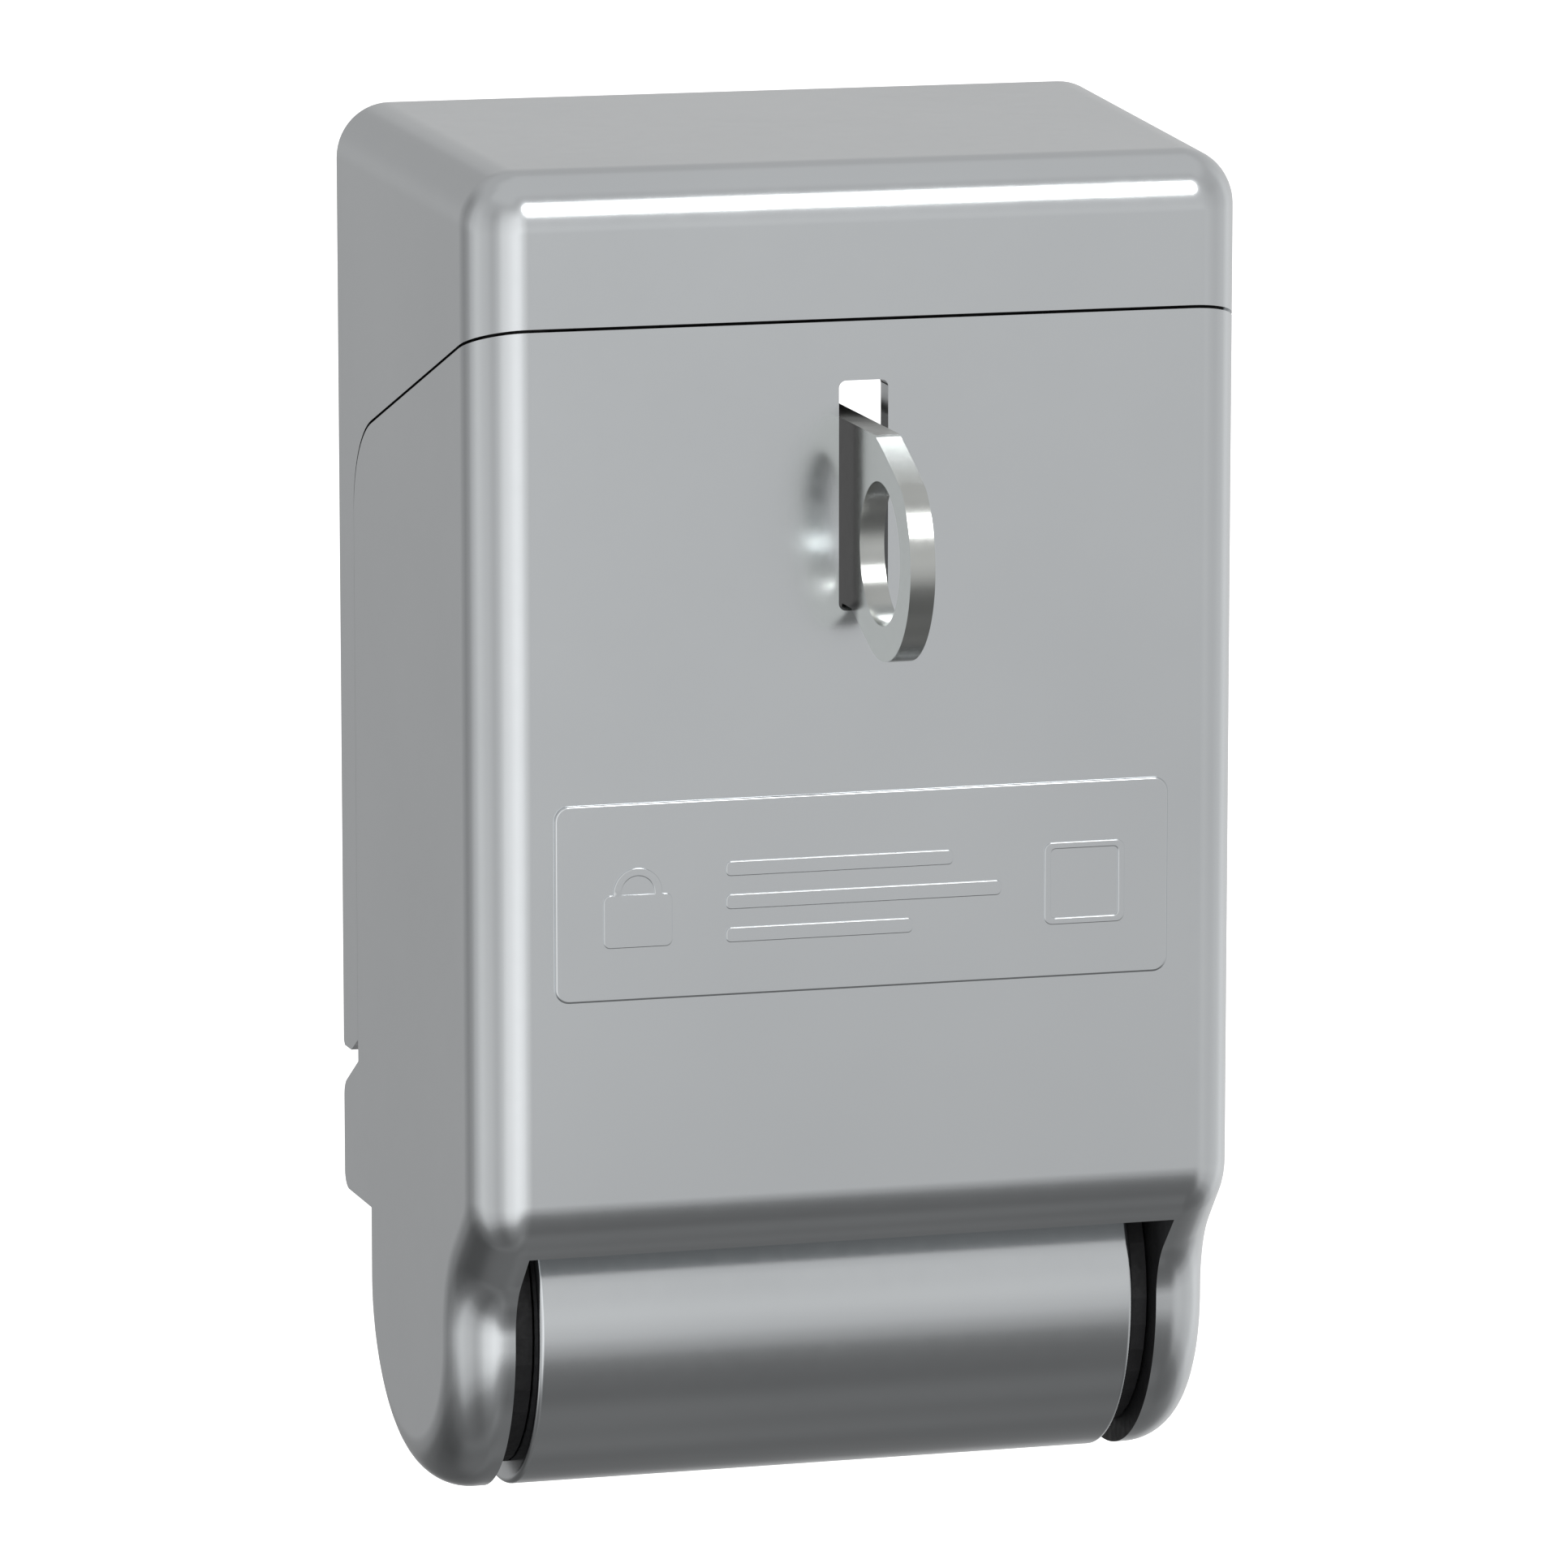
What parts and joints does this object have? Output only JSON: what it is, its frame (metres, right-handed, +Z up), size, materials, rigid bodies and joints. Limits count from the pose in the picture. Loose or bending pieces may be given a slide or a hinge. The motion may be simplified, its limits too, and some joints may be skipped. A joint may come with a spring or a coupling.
{
  "type": "padlockable door lock cover",
  "caption": "Cast metal cover for a door lock: a hinged lid opens forward and down, and a padlock through the staple holds it shut.",
  "frame": {"origin": "on the flat rear face that lies against the door, level with the hinge axis and midway across the width", "axes": "+X to the right of someone facing the cover, +Y into the door, +Z up; the lid's front faces -Y and the hinge axis is parallel to X at Y = -14.55 mm"},
  "size_m": [0.0492, 0.0434, 0.0831],
  "materials": {
    "cast_metal": "satin plated die casting",
    "steel": "polished stainless steel",
    "dark_steel": "plain spring steel",
    "brass": "turned",
    "nylon": "moulded nylon",
    "rubber": "matt"
  },
  "bodies": {
    "base": {"base_housing": "cast_metal", "padlock_staple": "steel", "staple_rivet_1": "dark_steel", "staple_rivet_2": "dark_steel", "threaded_insert_1": "brass", "threaded_insert_2": "brass", "threaded_insert_3": "brass", "threaded_insert_4": "brass", "door_gasket": "rubber", "hood_seal": "rubber", "lid_buffer_left": "rubber", "lid_buffer_right": "rubber", "barrel_end_cap_left": "nylon", "barrel_end_cap_right": "nylon", "hinge_bush_left": "nylon", "hinge_bush_right": "nylon", "torsion_spring_left": "dark_steel", "torsion_spring_right": "dark_steel"},
    "lid_assembly": {"lid": "cast_metal", "hinge_pin": "steel", "pin_end_plug": "cast_metal", "ear_spring_pin_left": "dark_steel", "ear_spring_pin_right": "dark_steel", "spring_collar": "dark_steel", "collar_cross_pin": "steel"}
  },
  "joints": [
    {"name": "lid_hinge", "type": "hinge", "parent": "base", "child": "lid_assembly", "pos_m": [0, -0.01455, 0], "axis": [1, 0, 0], "range_deg": [0, 110], "stiffness_Nm_per_rad": 0.012, "springref_deg": -114.59, "deforming": ["torsion_spring_left", "torsion_spring_right"]}
  ]
}
